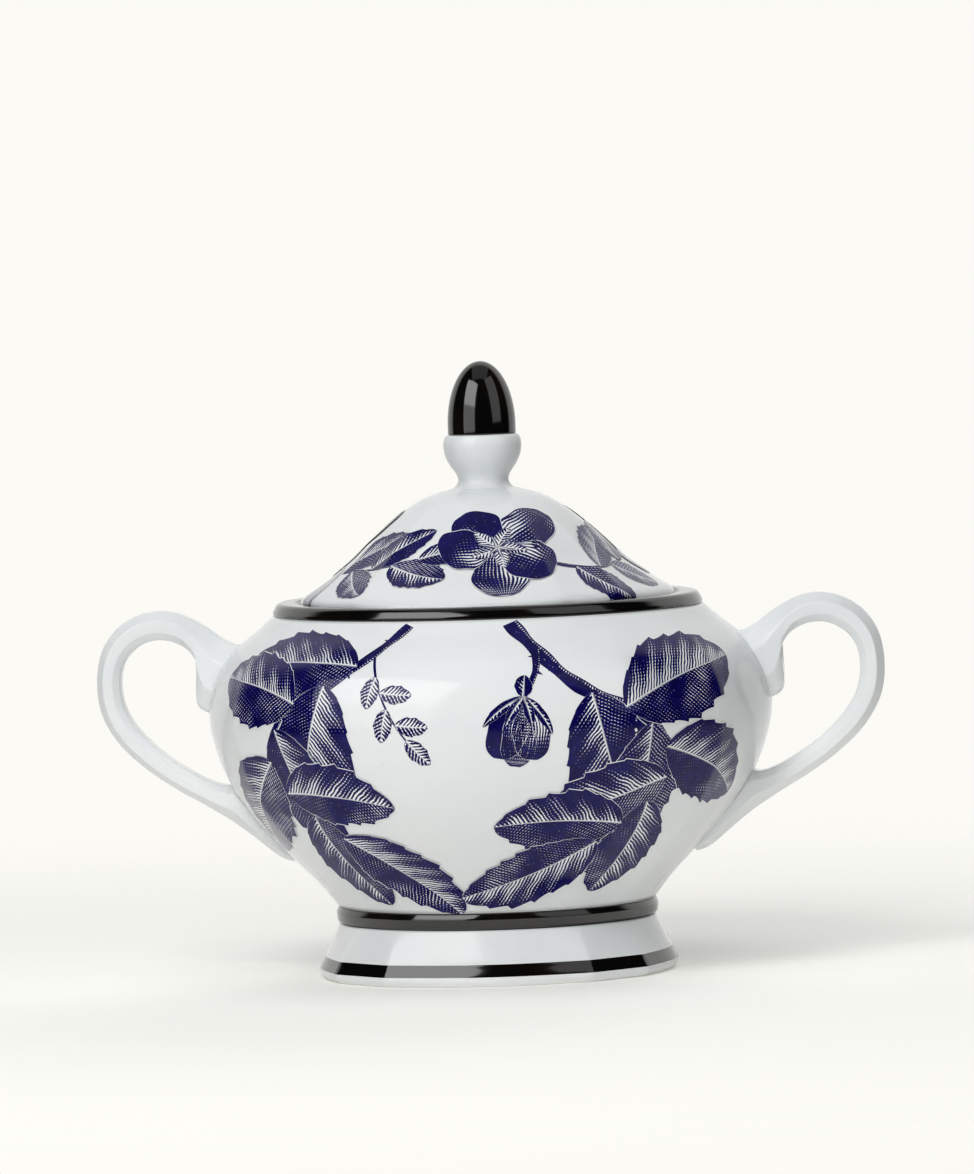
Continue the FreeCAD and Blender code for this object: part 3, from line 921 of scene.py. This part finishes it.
def print_lid():
    """Three open flowers round the lid, with a leafy twig between each two.

    The surface starts at the second ring, above the lid's upright edge.
    """
    sheet = Print(Surface(LID_RINGS[1:], LID_RISE, LID_TURN))
    for turn in (10, 130, 250):
        places = [(turn + 6, 89), (turn + 34, 85.5), (turn + 62, 86), (turn + 84, 88)]
        add_twig(sheet, places, leaves=5, longest=19, thickness=1.2, thorns=0, bare=0.34)
        add_flower(sheet, turn, 90, size=12.5, turn=40, layer=8)
    sheet.finish("lid_print", "lid")


# ---------------------------------------------------------------- studio

PALE = (0.808, 0.800, 0.768)
FLOOR_RADIUS, FLOOR_SIDES, FLOOR_DROP = 0.45, 96, 0.0001  # the drop keeps it just under the foot
FLOOR_FADE = (0.12, 0.44)  # distances from the middle between which the floor thins out
LAMP_AIM = 0.07  # height that the lamps face
# Lamps: degrees round, degrees up, distance, width, height and watts. Those for shine are only seen
# reflected in the glaze, and those for shade only light its matt colour, so each is set on its own.
SHINE_LAMPS = {
    "window_left": (-39, 36, 1.0, 0.75, 0.58, 3.3),
    "window_left_low": (-39, 7, 1.0, 0.75, 0.45, 1.15),
    "strip_right": (58, 30, 1.0, 0.62, 1.0, 1.2),
    "overhead": (0, 86, 1.1, 1.1, 1.1, 1.2),
}
SHADE_LAMPS = {
    "soft_key": (-20, 36, 1.0, 0.35, 0.35, 3.3),
    "soft_fill": (6, 4, 1.0, 0.4, 0.4, 0.68),
    "soft_top": (0, 88, 1.0, 0.8, 0.8, 1.6),
    "soft_back": (165, 24, 1.0, 0.6, 0.6, 2.4),
}


def make_floor():
    """A pale matt disc, slightly glowing, that thins out towards its edge so that no horizon shows."""
    material, shader = start_material("pale_table")
    shader.inputs["Base Color"].default_value = (0.86, 0.85, 0.815, 1)
    shader.inputs["Emission Color"].default_value = (*PALE, 1)
    shader.inputs["Emission Strength"].default_value = 0.22
    shader.inputs["Roughness"].default_value = 1.0
    shader.inputs["Specular IOR Level"].default_value = 0.0
    away = node("ShaderNodeVectorMath", operation="LENGTH")
    link(object_place(), away.inputs[0])
    link(Value(away.outputs["Value"]).ramp(*FLOOR_FADE, 1.0, 0.0), shader.inputs["Alpha"])
    turns = [2 * math.pi * i / FLOOR_SIDES for i in range(FLOOR_SIDES)]
    ring = [(FLOOR_RADIUS * math.cos(turn), FLOOR_RADIUS * math.sin(turn), -FLOOR_DROP) for turn in turns]
    floor = new_piece("table", ring, [tuple(range(FLOOR_SIDES))])
    floor.data.materials.append(material)


def make_world():
    """A pale studio, told apart by kind of ray.

    The camera sees an even background. Matt light comes mostly from the front, less from behind and hardly
    from the sides. The glaze sees darkness in front and at the sides, and a bright wall behind.
    """
    world = bpy.data.worlds.new("studio")
    bpy.context.scene.world = world
    world.use_nodes = True
    # Sampled as a lamp too, the world would give light that counts as no kind of ray.
    world.cycles.sampling_method = "NONE"
    Value.tree = world.node_tree
    background = world.node_tree.nodes["Background"]
    direction = node("ShaderNodeSeparateXYZ")
    link(node("ShaderNodeTexCoord").outputs["Generated"], direction.inputs[0])
    sideways, behind = Value(direction.outputs[0]).size(), Value(direction.outputs[1])
    glossy = blend_colours(behind.ramp(0.28, 0.46), (0.010, 0.010, 0.010), (0.80, 0.80, 0.78))
    wall = blend_colours(behind.ramp(-0.7, 0.1), (0.86, 0.86, 0.855), (0.34, 0.35, 0.35))
    matt = blend_colours(sideways.ramp(0.15, 0.62), wall, (0.05, 0.055, 0.06))
    rays = node("ShaderNodeLightPath")
    around = blend_colours(Value(rays.outputs["Is Diffuse Ray"]), glossy, matt)
    link(blend_colours(Value(rays.outputs["Is Camera Ray"]), around, PALE), background.inputs["Color"])
    background.inputs["Strength"].default_value = 1.0


def direction_to(azimuth, elevation):
    """The way to a viewpoint or lamp, for degrees round from the front towards +X and degrees up."""
    a, e = math.radians(azimuth), math.radians(elevation)
    return Vector((math.sin(a) * math.cos(e), -math.cos(a) * math.cos(e), math.sin(e)))


def add_lamp(name, azimuth, elevation, distance, wide, tall, watts):
    """A rectangular soft white light that faces the object."""
    data = bpy.data.lights.new(name, "AREA")
    data.shape = "RECTANGLE"
    data.size, data.size_y = wide, tall
    data.energy = watts
    lamp = bpy.data.objects.new(name, data)
    bpy.context.scene.collection.objects.link(lamp)
    away = direction_to(azimuth, elevation)
    lamp.location = Vector((0, 0, LAMP_AIM)) + away * distance
    lamp.rotation_mode = "QUATERNION"
    lamp.rotation_quaternion = away.to_track_quat("Z", "Y")
    lamp.visible_camera = False
    return lamp


def make_camera():
    """A long lens a little right of the front and a little above, rolled slightly."""
    azimuth, elevation, roll = 4.5, 2.85, math.radians(-1.9)
    aim, distance, seen_height, sensor = 0.0808, 1.95, 0.2466, 36.0
    data = bpy.data.cameras.new("camera")
    data.lens = sensor * distance / seen_height
    data.sensor_width = sensor
    data.clip_end = 50
    camera = bpy.data.objects.new("camera", data)
    bpy.context.scene.collection.objects.link(camera)
    away = direction_to(azimuth, elevation)
    camera.location = Vector((0, 0, aim)) + away * distance
    camera.rotation_mode = "QUATERNION"
    camera.rotation_quaternion = away.to_track_quat("Z", "Y") @ Quaternion((0, 0, 1), roll)
    bpy.context.scene.camera = camera


def light_studio():
    """The world, the lamps and how bright values are shown."""
    make_world()
    for name, lamp in SHINE_LAMPS.items():
        add_lamp(name, *lamp).visible_diffuse = False
    for name, lamp in SHADE_LAMPS.items():
        add_lamp(name, *lamp).visible_glossy = False
    bpy.context.scene.view_settings.view_transform = "Standard"
    bpy.context.scene.view_settings.look = "Medium High Contrast"


# ---------------------------------------------------------------- the object

porcelain, enamel, biscuit = make_porcelain(), make_enamel(), make_biscuit()
inks = [make_leaf_ink(), make_petal_ink(), make_stem_ink()]
FINISHES = {
    "bowl_porcelain": [porcelain],
    "rim_enamel": [enamel],
    "waist_enamel": [enamel],
    "foot_porcelain": [porcelain, enamel, biscuit],
    "lid_porcelain": [porcelain],
    "lid_ring": [porcelain],
    "knob_cup": [porcelain],
    "knob_tip": [enamel],
    "handle_right_strap": [porcelain],
    "handle_left_strap": [porcelain],
    "bowl_print": inks,
    "lid_print": inks,
}

make_camera()
light_studio()
make_floor()
make_bowl()
make_rim()
make_bead()
make_foot()
make_handle("handle_right_strap", 1, "handle_right")
make_handle("handle_left_strap", -1, "handle_left")
make_lid()
make_lid_ring()
make_knob_cup()
make_knob_tip()
print_bowl()
print_lid()
